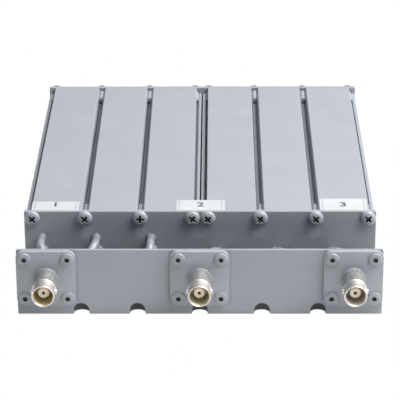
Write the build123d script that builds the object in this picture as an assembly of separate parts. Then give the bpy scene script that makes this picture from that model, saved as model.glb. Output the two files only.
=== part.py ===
from build123d import *
import os
from math import cos, pi, radians, tan

os.makedirs("parts", exist_ok=True)

# Cavity duplexer, millimetres. X to the right, Y from the jacks to the back, Z up.
# Everything is laid out from the front face of the connector panel (y = 0) and the
# underside of the extrusions (z = 0), and moved to the part's origin when it is written.

# Cavity extrusions: one three-cell profile, used twice
BLOCK_W = 76.3
BLOCK_H = 36.85
BLOCK_L = 153.4
BLOCK_GAP = 0.35
SKIN = 1.5
CELL_WALL = 1.6
MID_CELL_PITCH = 24.15
EDGE_ROUND = 0.35

# Screw channels of the profile: a round channel under a bevelled slot between the cells,
# and at each corner a round channel open to a ledge along the side
CHANNEL_D = 3.4
CHANNEL_WALL = 1.3
SLOT_MOUTH_W = 3.5
SLOT_THROAT_W = 1.9
LIP_INSET = 2.65
LEDGE_DEPTH = 3.0

# End plates
PLATE_OVERHANG = 0.325
PLATE_T = 2.0
PLATE_CORNER_R = 0.6

# Plate screws, number 6 pan heads in the profile's slots
SCREW_D = 3.3
SCREW_LEN = 12.7
SCREW_HEAD_D = 6.75
SCREW_HEAD_H = 2.3
SCREW_HEAD_RIM = 0.8
SCREW_HOLE_D = 3.8
SCREW_INSET = 2.95
CORNER_SCREW_INSET = 3.2
RECESS_SPAN = 3.7
RECESS_W = 0.85
RECESS_DEPTH = 1.4
RECESS_TAPER = (0.5, 0.8)
CROWN_SHOULDER = (0.8, 0.78)
CROWN_FLAT = 0.28
POINT_SHARE = 0.7
# Turn of each cross recess along the front top row, in degrees
FRONT_TURNS = (48, 42, 2, 38, 52, 40, 50, 44)

# Connector bracket, one folded sheet
PANEL_W = 156.4
PANEL_H = 31.0
SHEET_T = 1.5
BEND_R = 0.8
STANDOFF = 27.5
LIP_H = 9.0
PANEL_CORNER_R = 0.8
NOTCH_W = 6.75
NOTCH_REACH = 6.0
NOTCH_OUTSET = 0.5
HEAD_CLEARANCE = 0.6

# Screws through the bracket's rear lip
LIP_SCREW_D = 2.8
LIP_SCREW_LEN = 5.0
LIP_SCREW_HEAD_D = 5.2
LIP_SCREW_HEAD_H = 1.8
LIP_SCREW_Z = 5.4
LIP_RECESS_SPAN = 2.8

# Jacks
JACK_PITCH = 65.6
FLANGE_W = 25.4
FLANGE_T = 1.8
FLANGE_CORNER_R = 3.0
RIVET_SPACING = 18.26
JACK_REACH = 17.4
BARREL_D = 9.7
COLLAR_D = 10.1
COLLAR_LEN = 10.8
MOUTH_D = 8.15
MOUTH_DEPTH = 8.4
LUG_D = 1.95
LUG_SPAN = 11.0
LUG_FROM_MOUTH = 5.3
JACK_REAR_D = 12.4
JACK_REAR_LEN = 8.0
INSULATOR_D = 4.7
INSULATOR_RECESS = 4.0
CONTACT_D = 2.0
CONTACT_BORE_D = 1.38
CONTACT_BORE_DEPTH = 5.0
CONTACT_RECESS = 0.6
CONTACT_EYE_D = 1.6
TAIL_D = 1.4
CHAMBER_D = 9.2
CHAMBER_LEN = 2.0
COAX_SOCKET_LEN = 4.0
TWIN_COAX_PITCH = 5.4
JACK_EDGE_BREAK = 0.25

# Blind rivets
RIVET_D = 3.2
RIVET_HEAD_D = 6.0
RIVET_HEAD_H = 1.0
RIVET_RIM = 0.3
RIVET_SHOULDER = (0.78, 0.75)
RIVET_EYE_D = 1.85
RIVET_EYE_DEPTH = 2.2
RIVET_TAIL_D = 4.6
RIVET_TAIL_LEN = 2.5
RIVET_TAIL_BREAK = 0.6
RIVET_HOLE_D = 3.3

# Tape labels on the top faces
LABEL_T = 0.15
LABEL_FROM_FRONT = 1.1
# Each label, cut and stuck by hand: how far it lies off its place, length and width
LABELS = {"low": (-0.4, 20.6, 9.8), "antenna": (0.2, 21.3, 11.4), "high": (-0.35, 20.6, 12.8)}

# Resonator rods and tuning screws
ROD_D = 6.35
ROD_TIP_GAP = 9.0
ROD_BORE_D = 4.9
ROD_BORE_DEPTH = 32.0
ROD_SPIGOT_D = 3.0
TUNER_D = 4.17
TUNER_IN_BORE = 20.0
TUNER_STICKOUT = 7.0
TUNER_SLOT_W = 1.0
TUNER_SLOT_DEPTH = 1.4
TUNER_END_BREAK = 0.3
BUSH_D = 8.0
BUSH_FLANGE_D = 10.0
BUSH_FLANGE_T = 1.6
BUSH_STAKE = 0.8
NUT_AF = 8.73
NUT_T = 3.2
NUT_CHAMFER_DEG = 30

# Coax jumpers and coupling loops
COAX_D = 3.58
COAX_BEND_R = 6.4
COAX_IN_CELL = 1.5
LOOP_D = 1.6
LOOP_LEN = 22.0
LOOP_BEND_R = 2.2
BEND_SHARE = 0.47
# Two coax holes in each cell, one above the other: how far they pass clear of the rod,
# the upper one's height above the middle, and how far the left pairs lean
COAX_STEP = 5.7
LEFT_COAX_GAPS = (0.5, 1.3, 2.1)
LEFT_COAX_RISE = 5.7
LEFT_COAX_LEAN = 1.0
RIGHT_COAX_GAP = 0.65
RIGHT_COAX_RISE = -0.8
# Each jumper: straight run out of its first end, bend corners, straight run out of its last end
JUMPER_RUNS = {
    "low_to_1": (4.5, [], 8.5),
    "1_to_2": (6.0, [(-68.6, 13.5, 8.5), (-57.5, 10.0, 7.0), (-49.8, 11.0, 20.5)], 5.5),
    "2_to_3": (6.0, [(-44.6, 13.5, 8.5), (-33.0, 9.5, 7.0), (-23.2, 11.0, 19.0)], 7.5),
    "3_to_antenna": (7.0, [(-13.0, 15.0, 12.0)], 5.5),
    "antenna_to_4": (4.0, [(5.9, 20.5, 21.8)], 1.5),
    "4_to_5": (2.0, [(13.4, 19.0, 21.8), (20.0, 12.0, 11.5), (27.5, 13.0, 7.5)], 7.0),
    "5_to_6": (1.5, [(35.6, 20.0, 21.8), (43.5, 12.0, 12.0), (52.0, 13.0, 7.5)], 7.0),
    "6_to_high": (1.5, [(60.2, 20.0, 21.8)], 4.0),
}

# Fits
SLIP = 0.05
HOLE_CLEARANCE = 0.15
TURN_CLEARANCE = 0.05

# How far a cut runs past the face that it opens
PAST = 1.0

# Worked out from the sizes above
BLOCK_X = (BLOCK_W + BLOCK_GAP) / 2
PLATE_W = 2 * (BLOCK_W + PLATE_OVERHANG) + BLOCK_GAP
PLATE_Y = STANDOFF
BLOCK_Y = PLATE_Y + PLATE_T
REAR_Y = BLOCK_Y + BLOCK_L
BACK_Y = REAR_Y + PLATE_T
MID_Z = BLOCK_H / 2
SLOT_X = MID_CELL_PITCH / 2
CORNER_X = BLOCK_W / 2 - CORNER_SCREW_INSET
OUTER_CELL_IN = SLOT_X + CELL_WALL / 2
OUTER_CELL_OUT = BLOCK_W / 2 - SKIN
OUTER_CELL_X = (OUTER_CELL_IN + OUTER_CELL_OUT) / 2
SCREW_XS = [s * BLOCK_X + u for s in (-1, 1) for u in (-CORNER_X, -SLOT_X, SLOT_X, CORNER_X)]
CELL_XS = [s * BLOCK_X + u for s in (-1, 1) for u in (-OUTER_CELL_X, 0, OUTER_CELL_X)]
NOTCH_XS = [0] + [SCREW_XS[i] + side * NOTCH_OUTSET for i, side in ((1, -1), (2, -1), (5, 1), (6, 1))]
JACK_XS = (-JACK_PITCH, 0, JACK_PITCH)
JACK_Z = PANEL_H - FLANGE_W / 2
MOUTH_Y = -FLANGE_T - JACK_REACH
JACK_REAR_Y = SHEET_T + JACK_REAR_LEN
COAX_END_Y = JACK_REAR_Y - COAX_SOCKET_LEN
CELL_END_Y = BLOCK_Y + COAX_IN_CELL
TUNER_OUT_Y = BACK_Y + BUSH_FLANGE_T + NUT_T + TUNER_STICKOUT
ROD_TIP_Y = REAR_Y - ROD_TIP_GAP
HEAD_DROP = max(0, SCREW_HEAD_D / 2 - SCREW_INSET)

# The origin is under the middle of the part, on the plane that it stands on
TO_ORIGIN = Location((0, -(MOUTH_Y + TUNER_OUT_Y) / 2, HEAD_DROP))


def save(shape, name):
    """Write one sub-part, moved from the layout to the part's origin."""
    export_step(shape.moved(TO_ORIGIN), f"parts/{name}.step")


def along_y(x, y, z):
    """Plane at a point whose normal runs to the back, with X kept to the right."""
    return Plane(origin=(x, y, z), x_dir=(1, 0, 0), z_dir=(0, 1, 0))


def turned(points, x, z):
    """Revolve (radius, y) points about the line along Y through x and z."""
    outline = make_face(Polyline(*points, close=True))
    return revolve(outline, Axis.Y).moved(Location((x, 0, z)))


def rod_y(diameter, y0, y1, x, z):
    """Round bar along Y."""
    return extrude(along_y(x, y0, z) * Circle(diameter / 2), y1 - y0)


def box_between(low, high):
    """Box from its lowest to its highest corner."""
    size = [b - a for a, b in zip(low, high)]
    middle = [(a + b) / 2 for a, b in zip(low, high)]
    return Pos(*middle) * Box(*size)


def four_times(shape):
    """A shape drawn in the profile's upper right quarter, and its three mirror images."""
    pair = [shape, mirror(shape, about=Plane.YZ)]
    return pair + [mirror(one, about=Plane.XZ) for one in pair]


def channels(diameter):
    """Rounds at the profile's eight screw places."""
    height = BLOCK_H / 2 - SCREW_INSET
    places = [(SLOT_X, height), (CORNER_X, height)]
    return [one for x, z in places for one in four_times(Pos(x, z) * Circle(diameter / 2))]


def profile_outline():
    """Outside of the extrusion: bevelled slots and corner ledges that open the screw channels."""
    half_w, half_h = BLOCK_W / 2, BLOCK_H / 2
    throat_z = half_h - SCREW_INSET + (CHANNEL_D**2 - SLOT_THROAT_W**2) ** 0.5 / 2
    mouth = SLOT_MOUTH_W / 2
    throat = SLOT_THROAT_W / 2
    slot = make_face(
        Polyline(
            (SLOT_X - mouth, half_h), (SLOT_X + mouth, half_h), (SLOT_X + throat, throat_z),
            (SLOT_X, half_h - SCREW_INSET), (SLOT_X - throat, throat_z), close=True,
        )
    )
    corner = Pos(half_w - LIP_INSET / 2, half_h - LEDGE_DEPTH / 2) * Rectangle(LIP_INSET, LEDGE_DEPTH)
    outline = Rectangle(BLOCK_W, BLOCK_H) - four_times(slot) - four_times(corner)
    outline -= channels(CHANNEL_D)
    edges = [v for v in outline.vertices() if abs(v.Y) > half_h - 0.01 or abs(v.X) > half_w - 0.01]
    return fillet(edges, EDGE_ROUND)


def profile_cells():
    """The three cells, which leave a wall round each screw channel."""
    cell_h = BLOCK_H - 2 * SKIN
    outer = Rectangle(OUTER_CELL_OUT - OUTER_CELL_IN, cell_h)
    middle = Rectangle(MID_CELL_PITCH - CELL_WALL, cell_h)
    cells = [Pos(-OUTER_CELL_X, 0) * outer, middle, Pos(OUTER_CELL_X, 0) * outer]
    return [cell - channels(CHANNEL_D + 2 * CHANNEL_WALL) for cell in cells]


def cavity_block(side):
    """One extrusion, standing between the end plates."""
    section = profile_outline() - profile_cells()
    return extrude(along_y(side * BLOCK_X, BLOCK_Y, MID_Z) * section, BLOCK_L)


def coax_holes():
    """Each cell's two coax places in the front plate, first the inlet and then the outlet."""
    beside_rod = (ROD_D + COAX_D) / 2
    left = []
    for cell_x, gap in zip(CELL_XS, LEFT_COAX_GAPS):
        x = cell_x - beside_rod - gap
        upper = (x - LEFT_COAX_LEAN, MID_Z + LEFT_COAX_RISE)
        lower = (x, MID_Z + LEFT_COAX_RISE - COAX_STEP)
        left.append((upper, lower))
    right = []
    for k, cell_x in enumerate(CELL_XS[3:]):
        x = cell_x - beside_rod - RIGHT_COAX_GAP
        upper = (x, MID_Z + RIGHT_COAX_RISE)
        lower = (x, MID_Z + RIGHT_COAX_RISE - COAX_STEP)
        right.append((upper, lower) if k == 0 else (lower, upper))
    return left + right


COAX_HOLES = coax_holes()


def end_plate(y):
    """Blank end plate with its sixteen screw holes."""
    plate = box_between((-PLATE_W / 2, y, 0), (PLATE_W / 2, y + PLATE_T, BLOCK_H))
    plate = fillet(plate.edges().filter_by(Axis.Y), PLATE_CORNER_R)
    spots = [(x, z) for x in SCREW_XS for z in (SCREW_INSET, BLOCK_H - SCREW_INSET)]
    return plate - [rod_y(SCREW_HOLE_D, y, y + PLATE_T, x, z) for x, z in spots]


def front_plate():
    """Front plate: coax holes, rod spigot holes and the tapped holes for the bracket."""
    y0, y1 = PLATE_Y, PLATE_Y + PLATE_T
    coax_d = COAX_D + 2 * SLIP
    cuts = [rod_y(coax_d, y0, y1, x, z) for pair in COAX_HOLES for x, z in pair]
    cuts += [rod_y(ROD_SPIGOT_D + 2 * SLIP, y0, y1, x, MID_Z) for x in CELL_XS]
    cuts += [rod_y(LIP_SCREW_D + 2 * SLIP, y0, y1, x, LIP_SCREW_Z) for x in CELL_XS]
    return end_plate(PLATE_Y) - cuts


def rear_plate():
    """Rear plate: one hole for each tuning bushing."""
    cuts = [rod_y(BUSH_D + 2 * SLIP, REAR_Y, BACK_Y, x, MID_Z) for x in CELL_XS]
    return end_plate(REAR_Y) - cuts


def folded_sheet():
    """Panel, web and rear lip as one folded U section."""
    inner_y = STANDOFF - SHEET_T
    ring = Polyline(
        (0, PANEL_H), (0, 0), (STANDOFF, 0), (STANDOFF, LIP_H),
        (inner_y, LIP_H), (inner_y, SHEET_T), (SHEET_T, SHEET_T), (SHEET_T, PANEL_H),
        close=True,
    )
    section = make_face(ring)
    feet = [v for v in section.vertices() if abs(v.Y) < 0.01]
    section = fillet(feet, SHEET_T + BEND_R)
    roots = [v for v in section.vertices() if abs(v.Y - SHEET_T) < 0.01 and v.X > 0.01]
    roots = [v for v in roots if abs(v.X - SHEET_T) < 0.01 or abs(v.X - inner_y) < 0.01]
    section = fillet(roots, BEND_R)
    plane = Plane(origin=(-PANEL_W / 2, 0, 0), x_dir=(0, 1, 0), z_dir=(1, 0, 0))
    return extrude(plane * section, PANEL_W)


def notch(x):
    """Round-ended slot across the front bend, as far up the panel as along the web."""
    centre = NOTCH_REACH - NOTCH_W / 2
    straight = Pos(0, (centre - PAST) / 2) * Rectangle(NOTCH_W, centre + PAST)
    slot = straight + Pos(0, centre) * Circle(NOTCH_W / 2)
    upright = Plane(origin=(x, -PAST, 0), x_dir=(1, 0, 0), z_dir=(0, -1, 0))
    through_panel = extrude(upright * slot, -(centre + PAST))
    through_web = extrude(Plane(origin=(x, 0, -PAST)) * slot, centre + PAST)
    return through_panel + through_web


def head_windows():
    """Openings in the lip and web where the bottom screw heads bear on the front plate."""
    reach = SCREW_HEAD_D / 2 + HEAD_CLEARANCE
    y0 = STANDOFF - SCREW_HEAD_H - HEAD_CLEARANCE
    spans = [(x - reach, x + reach) for x in SCREW_XS if abs(x) > SCREW_HEAD_D]
    spans.append((SCREW_XS[3] - reach, SCREW_XS[4] + reach))
    spans[0] = (-PANEL_W, spans[0][1])
    spans[-2] = (spans[-2][0], PANEL_W)
    return [box_between((a, y0, -PAST), (b, STANDOFF + PAST, LIP_H + PAST)) for a, b in spans]


def connector_bracket():
    """Folded bracket with its jack, rivet, access and lip holes."""
    sheet = folded_sheet()
    corners = [e for e in sheet.edges().filter_by(Axis.Y) if e.center().Z > PANEL_H - 0.01]
    sheet = fillet(corners, PANEL_CORNER_R)
    jack_hole = JACK_REAR_D + 2 * HOLE_CLEARANCE
    lip_hole = LIP_SCREW_D + 2 * HOLE_CLEARANCE
    lip_y = STANDOFF - SHEET_T
    cuts = [rod_y(jack_hole, -PAST, SHEET_T + PAST, x, JACK_Z) for x in JACK_XS]
    for jack_x in JACK_XS:
        cuts += [rod_y(RIVET_HOLE_D, -PAST, SHEET_T + PAST, x, z) for x, z in rivet_spots(jack_x)]
    cuts += [notch(x) for x in NOTCH_XS]
    cuts += [rod_y(lip_hole, lip_y - PAST, STANDOFF + PAST, x, LIP_SCREW_Z) for x in CELL_XS]
    return sheet - cuts - head_windows()


def rivet_spots(jack_x):
    """The four rivet places of one flange, as (x, z)."""
    half = RIVET_SPACING / 2
    return [(jack_x + sx * half, JACK_Z + sz * half) for sz in (1, -1) for sx in (-1, 1)]


def jack_shell(jack_x, coax_xs):
    """Flange, barrel with bayonet lugs and rear body, in one piece."""
    front_y = -FLANGE_T
    collar_y = front_y - COLLAR_LEN
    edge = JACK_EDGE_BREAK
    barrel_r, collar_r, mouth_r = BARREL_D / 2, COLLAR_D / 2, MOUTH_D / 2
    outside = turned(
        [
            (0, MOUTH_Y), (barrel_r - edge, MOUTH_Y), (barrel_r, MOUTH_Y + edge),
            (barrel_r, collar_y), (collar_r, collar_y + edge), (collar_r, 0),
            (JACK_REAR_D / 2, 0), (JACK_REAR_D / 2, JACK_REAR_Y - edge),
            (JACK_REAR_D / 2 - edge, JACK_REAR_Y), (0, JACK_REAR_Y),
        ],
        jack_x, JACK_Z,
    )
    flange = box_between(
        (jack_x - FLANGE_W / 2, front_y, JACK_Z - FLANGE_W / 2),
        (jack_x + FLANGE_W / 2, 0, JACK_Z + FLANGE_W / 2),
    )
    flange = fillet(flange.edges().filter_by(Axis.Y), FLANGE_CORNER_R)
    lug_plane = Plane(origin=(jack_x, MOUTH_Y + LUG_FROM_MOUTH, JACK_Z), z_dir=(1, 0, 0))
    lugs = extrude(lug_plane * Circle(LUG_D / 2), LUG_SPAN / 2, both=True)
    chamber_y = COAX_END_Y - CHAMBER_LEN
    bore_r = INSULATOR_D / 2 + SLIP
    inside = turned(
        [
            (0, MOUTH_Y), (mouth_r, MOUTH_Y), (mouth_r, MOUTH_Y + MOUTH_DEPTH),
            (bore_r, MOUTH_Y + MOUTH_DEPTH), (bore_r, chamber_y), (CHAMBER_D / 2, chamber_y),
            (CHAMBER_D / 2, COAX_END_Y), (0, COAX_END_Y),
        ],
        jack_x, JACK_Z,
    )
    cuts = [rod_y(COAX_D + 2 * SLIP, COAX_END_Y, JACK_REAR_Y, jack_x + dx, JACK_Z) for dx in coax_xs]
    cuts += [rod_y(RIVET_HOLE_D, front_y, 0, x, z) for x, z in rivet_spots(jack_x)]
    return outside + flange + lugs - inside - cuts


def jack_insulator(jack_x):
    """Turned sleeve with a small eye in front of the contact."""
    front_y = MOUTH_Y + INSULATOR_RECESS
    rear_y = COAX_END_Y - CHAMBER_LEN
    contact_y = front_y + CONTACT_RECESS
    body = rod_y(INSULATOR_D, front_y, rear_y, jack_x, JACK_Z)
    eye = rod_y(CONTACT_EYE_D, front_y, contact_y, jack_x, JACK_Z)
    bore = rod_y(CONTACT_D + 2 * SLIP, contact_y, rear_y, jack_x, JACK_Z)
    return body - eye - bore


def jack_contact(jack_x):
    """Female pin contact with a solder tail that meets the coax."""
    front_y = MOUTH_Y + INSULATOR_RECESS + CONTACT_RECESS
    rear_y = COAX_END_Y - CHAMBER_LEN
    body = rod_y(CONTACT_D, front_y, rear_y, jack_x, JACK_Z)
    tail = rod_y(TAIL_D, rear_y, COAX_END_Y, jack_x, JACK_Z)
    bore = rod_y(CONTACT_BORE_D, front_y, front_y + CONTACT_BORE_DEPTH, jack_x, JACK_Z)
    return body + tail - bore


def blind_rivet(x, z):
    """Domed head, shank and pulled tail, with the eye that its mandrel leaves."""
    seat = -FLANGE_T
    head_r, shank_r, tail_r = RIVET_HEAD_D / 2, RIVET_D / 2, RIVET_TAIL_D / 2
    eye_r = RIVET_EYE_D / 2
    rim = RIVET_RIM * RIVET_HEAD_H
    crown = seat - RIVET_HEAD_H
    tail_end = SHEET_T + RIVET_TAIL_LEN
    tail_edge = RIVET_TAIL_BREAK
    shoulder = (RIVET_SHOULDER[0] * head_r, seat - RIVET_SHOULDER[1] * RIVET_HEAD_H)
    dome = ThreePointArc((head_r, seat - rim), shoulder, (eye_r, crown))
    rest = Polyline(
        (eye_r, crown), (eye_r, crown + RIVET_EYE_DEPTH), (0, crown + RIVET_EYE_DEPTH),
        (0, tail_end), (tail_r - tail_edge, tail_end), (tail_r, tail_end - tail_edge),
        (tail_r, SHEET_T), (shank_r, SHEET_T), (shank_r, seat), (head_r, seat), (head_r, seat - rim),
    )
    return revolve(make_face([dome, rest]), Axis.Y).moved(Location((x, 0, z)))


def pan_screw(diameter, length, head_d, head_h, span):
    """Pan head screw along Y: seat at y = 0, head towards -Y, cross recess in it."""
    head_r, shank_r = head_d / 2, diameter / 2
    rim = SCREW_HEAD_RIM * head_h / SCREW_HEAD_H
    flat_r = CROWN_FLAT * head_r
    point_r = POINT_SHARE * shank_r
    shoulder = (CROWN_SHOULDER[0] * head_r, -CROWN_SHOULDER[1] * head_h)
    crown = ThreePointArc((head_r, -rim), shoulder, (flat_r, -head_h))
    rest = Polyline(
        (flat_r, -head_h), (0, -head_h), (0, length), (point_r, length),
        (shank_r, length - shank_r + point_r), (shank_r, 0), (head_r, 0), (head_r, -rim),
    )
    screw = revolve(make_face([crown, rest]), Axis.Y)
    depth = RECESS_DEPTH * head_h / SCREW_HEAD_H
    width = RECESS_W * span / RECESS_SPAN
    root_span, root_width = RECESS_TAPER[0] * span, RECESS_TAPER[1] * width
    for turn in (0, 90):
        mouth = Plane(origin=(0, -head_h, 0), z_dir=(0, -1, 0)).rotated((0, turn, 0))
        root = Plane(origin=(0, depth - head_h, 0), z_dir=(0, -1, 0)).rotated((0, turn, 0))
        screw -= loft([root * Rectangle(root_span, root_width), mouth * Rectangle(span, width)])
    return screw


PLATE_SCREW = pan_screw(SCREW_D, SCREW_LEN, SCREW_HEAD_D, SCREW_HEAD_H, RECESS_SPAN)
LIP_SCREW = pan_screw(LIP_SCREW_D, LIP_SCREW_LEN, LIP_SCREW_HEAD_D, LIP_SCREW_HEAD_H, LIP_RECESS_SPAN)


def screw_row(z, y, facing, turns):
    """Eight plate screws in a row; facing is 0 for the front and 180 for the back."""
    row = []
    for x, turn in zip(SCREW_XS, turns):
        row.append(Location((x, y, z), (0, 0, facing)) * (Rot(0, turn, 0) * PLATE_SCREW))
    return Compound(children=row)


def lip_screws():
    """Screws that hold the bracket's lip to the front plate."""
    seat = STANDOFF - SHEET_T
    return Compound(children=[Pos(x, seat, LIP_SCREW_Z) * LIP_SCREW for x in CELL_XS])


def tape_label(x, length, width):
    """One label, flat on the top at the front edge."""
    y = PLATE_Y + LABEL_FROM_FRONT + width / 2
    return Pos(x, y, BLOCK_H + LABEL_T / 2) * Box(length, width, LABEL_T)


def resonator(cell_x):
    """Rod with a staked spigot in front and a bored tip for the tuning screw."""
    rod = rod_y(ROD_D, BLOCK_Y, ROD_TIP_Y, cell_x, MID_Z)
    spigot = rod_y(ROD_SPIGOT_D, PLATE_Y, BLOCK_Y, cell_x, MID_Z)
    bore = rod_y(ROD_BORE_D, ROD_TIP_Y - ROD_BORE_DEPTH, ROD_TIP_Y, cell_x, MID_Z)
    return rod + spigot - bore


def tuning_screw(cell_x):
    """Slotted screw from outside the back into the resonator's bore."""
    bar = rod_y(TUNER_D, ROD_TIP_Y - TUNER_IN_BORE, TUNER_OUT_Y, cell_x, MID_Z)
    tips = [e for e in bar.edges() if e.geom_type == GeomType.CIRCLE]
    bar = chamfer(tips, TUNER_END_BREAK)
    slot = box_between(
        (cell_x - TUNER_SLOT_W / 2, TUNER_OUT_Y - TUNER_SLOT_DEPTH, MID_Z - TUNER_D),
        (cell_x + TUNER_SLOT_W / 2, TUNER_OUT_Y + PAST, MID_Z + TUNER_D),
    )
    return bar - slot


def tuning_bushing(cell_x):
    """Flanged bushing staked in the rear plate."""
    bore_r = TUNER_D / 2 + TURN_CLEARANCE
    face_y = BACK_Y + BUSH_FLANGE_T
    stake_y = REAR_Y - BUSH_STAKE
    return turned(
        [
            (bore_r, stake_y), (BUSH_D / 2, stake_y), (BUSH_D / 2, BACK_Y), (BUSH_FLANGE_D / 2, BACK_Y),
            (BUSH_FLANGE_D / 2, face_y), (bore_r, face_y),
        ],
        cell_x, MID_Z,
    )


def lock_nut(cell_x):
    """Hexagon nut on the tuning screw, its corners turned off on both faces."""
    y0 = BACK_Y + BUSH_FLANGE_T
    y1 = y0 + NUT_T
    hexagon = RegularPolygon(NUT_AF / 2, 6, major_radius=False)
    nut = extrude(along_y(cell_x, y0, MID_Z) * hexagon, NUT_T)
    corner_r = NUT_AF / 2 / cos(pi / 6)
    drop = (corner_r - NUT_AF / 2) * tan(radians(NUT_CHAMFER_DEG))
    keep = turned(
        [
            (0, y0), (NUT_AF / 2, y0), (corner_r, y0 + drop),
            (corner_r, y1 - drop), (NUT_AF / 2, y1), (0, y1),
        ],
        cell_x, MID_Z,
    )
    return (nut & keep) - rod_y(TUNER_D + 2 * TURN_CLEARANCE, y0, y1, cell_x, MID_Z)


def bend_radii(points, largest):
    """Radius at each corner: the bending tool's, or less where the runs are short."""
    vectors = [Vector(*b) - Vector(*a) for a, b in zip(points, points[1:])]
    radii = []
    for before, after in zip(vectors, vectors[1:]):
        half_turn = radians(before.get_angle(after)) / 2
        room = BEND_SHARE * min(before.length, after.length) / tan(half_turn)
        radii.append(min(largest, room))
    return radii


def bent_rod(points, diameter, largest):
    """Round wire or cable along straight runs joined by arcs."""
    radii = bend_radii(points, largest)
    path = FilletPolyline(*points, radius=radii)
    start = Plane(origin=path @ 0, z_dir=path % 0)
    rod = sweep(start * Circle(diameter / 2), path=path)
    ratio = rod.volume / (pi * diameter**2 / 4 * path.length)
    print(f"  length {path.length:.1f}, smallest bend {min(radii):.1f}, volume ratio {ratio:.4f}")
    return rod


def coupling_loop(cell):
    """Wire from the end of one coax along the rod and back to the other."""
    (xa, za), (xb, zb) = COAX_HOLES[cell]
    far = CELL_END_Y + LOOP_LEN
    points = [(xa, CELL_END_Y, za), (xa, far, za), (xb, far, zb), (xb, CELL_END_Y, zb)]
    return bent_rod(points, LOOP_D, LOOP_BEND_R)


def jumper_ports():
    """Both ends of every jumper in order, from the low jack to the high jack, as (x, z, is a jack)."""
    twin = TWIN_COAX_PITCH / 2
    low, antenna, high = JACK_XS
    cells = [(x, z, False) for pair in COAX_HOLES for x, z in pair]
    middle = [(antenna - twin, JACK_Z, True), (antenna + twin, JACK_Z, True)]
    return [(low, JACK_Z, True)] + cells[:6] + middle + cells[6:] + [(high, JACK_Z, True)]


def straight_end(port, run):
    """The coax end inside a jack or a cell, and the point where it has come straight out."""
    x, z, is_jack = port
    if is_jack:
        return [(x, COAX_END_Y, z), (x, JACK_REAR_Y + run, z)]
    return [(x, CELL_END_Y, z), (x, PLATE_Y - run, z)]


def jumper_routes():
    """Every jumper's points: its two straight ends with the bend corners between."""
    ports = jumper_ports()
    routes = {}
    for (name, runs), first, last in zip(JUMPER_RUNS.items(), ports[::2], ports[1::2]):
        first_run, corners, last_run = runs
        start, end = straight_end(first, first_run), straight_end(last, last_run)
        routes[f"jumper_{name}"] = start + corners + end[::-1]
    return routes


save(cavity_block(-1), "cavity_block_left")
save(cavity_block(1), "cavity_block_right")
save(front_plate(), "front_plate")
save(rear_plate(), "rear_plate")
save(connector_bracket(), "connector_bracket")

TOP_Z = BLOCK_H - SCREW_INSET
save(screw_row(TOP_Z, PLATE_Y, 0, FRONT_TURNS), "front_top_screws")
save(screw_row(SCREW_INSET, PLATE_Y, 0, FRONT_TURNS[::-1]), "front_bottom_screws")
save(screw_row(TOP_Z, BACK_Y, 180, FRONT_TURNS[::-1]), "rear_top_screws")
save(screw_row(SCREW_INSET, BACK_Y, 180, FRONT_TURNS), "rear_bottom_screws")
save(lip_screws(), "bracket_screws")

JACKS = {
    "low": (JACK_XS[0], (0,)),
    "antenna": (JACK_XS[1], (-TWIN_COAX_PITCH / 2, TWIN_COAX_PITCH / 2)),
    "high": (JACK_XS[2], (0,)),
}
for jack_name, (jack_x, coax_xs) in JACKS.items():
    save(jack_shell(jack_x, coax_xs), f"{jack_name}_jack_shell")
    save(jack_insulator(jack_x), f"{jack_name}_jack_insulator")
    save(jack_contact(jack_x), f"{jack_name}_jack_contact")
    rivets = [blind_rivet(x, z) for x, z in rivet_spots(jack_x)]
    save(Compound(children=rivets), f"{jack_name}_jack_rivets")

LABEL_X = BLOCK_X + OUTER_CELL_X
for label_name, place in zip(LABELS, (-LABEL_X, 0, LABEL_X)):
    off, length, width = LABELS[label_name]
    save(tape_label(place + off, length, width), f"{label_name}_label")

for jumper_name, route in jumper_routes().items():
    print(jumper_name)
    save(bent_rod(route, COAX_D, COAX_BEND_R), jumper_name)

for cell, cell_x in enumerate(CELL_XS):
    number = cell + 1
    save(resonator(cell_x), f"resonator_{number}")
    save(coupling_loop(cell), f"coupling_loop_{number}")
    save(tuning_screw(cell_x), f"tuning_screw_{number}")
save(Compound(children=[tuning_bushing(x) for x in CELL_XS]), "tuning_bushings")
save(Compound(children=[lock_nut(x) for x in CELL_XS]), "lock_nuts")
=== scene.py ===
"""Finishes, small turned and formed pieces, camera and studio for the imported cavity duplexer."""
from math import cos, pi, radians, sin, tan
import bmesh
import bpy
import numpy as np
from mathutils import Matrix, Vector


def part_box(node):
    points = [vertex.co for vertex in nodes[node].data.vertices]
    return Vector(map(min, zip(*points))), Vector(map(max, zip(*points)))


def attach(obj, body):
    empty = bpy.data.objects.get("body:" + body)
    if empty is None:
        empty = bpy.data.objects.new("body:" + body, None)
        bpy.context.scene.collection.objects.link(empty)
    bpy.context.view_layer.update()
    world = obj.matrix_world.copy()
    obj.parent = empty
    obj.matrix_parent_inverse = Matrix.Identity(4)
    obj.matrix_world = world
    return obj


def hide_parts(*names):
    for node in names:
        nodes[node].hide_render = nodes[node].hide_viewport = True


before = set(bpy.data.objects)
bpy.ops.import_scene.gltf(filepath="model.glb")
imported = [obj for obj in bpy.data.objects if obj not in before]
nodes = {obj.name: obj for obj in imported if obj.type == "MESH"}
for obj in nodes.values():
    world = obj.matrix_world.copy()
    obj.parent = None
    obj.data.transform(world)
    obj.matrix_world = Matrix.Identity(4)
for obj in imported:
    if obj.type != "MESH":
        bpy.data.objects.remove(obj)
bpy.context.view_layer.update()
scene = bpy.context.scene
MM = 0.001

# Sizes are in millimetres, laid out from the panel's front face and the underside of the
# extrusions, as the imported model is; ORIGIN moves a layout point into the frame.
PANEL_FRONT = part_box("connector_bracket")[0].y / MM
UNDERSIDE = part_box("cavity_block_left")[0].z / MM
ORIGIN = np.array((0.0, PANEL_FRONT, UNDERSIDE))


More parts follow.
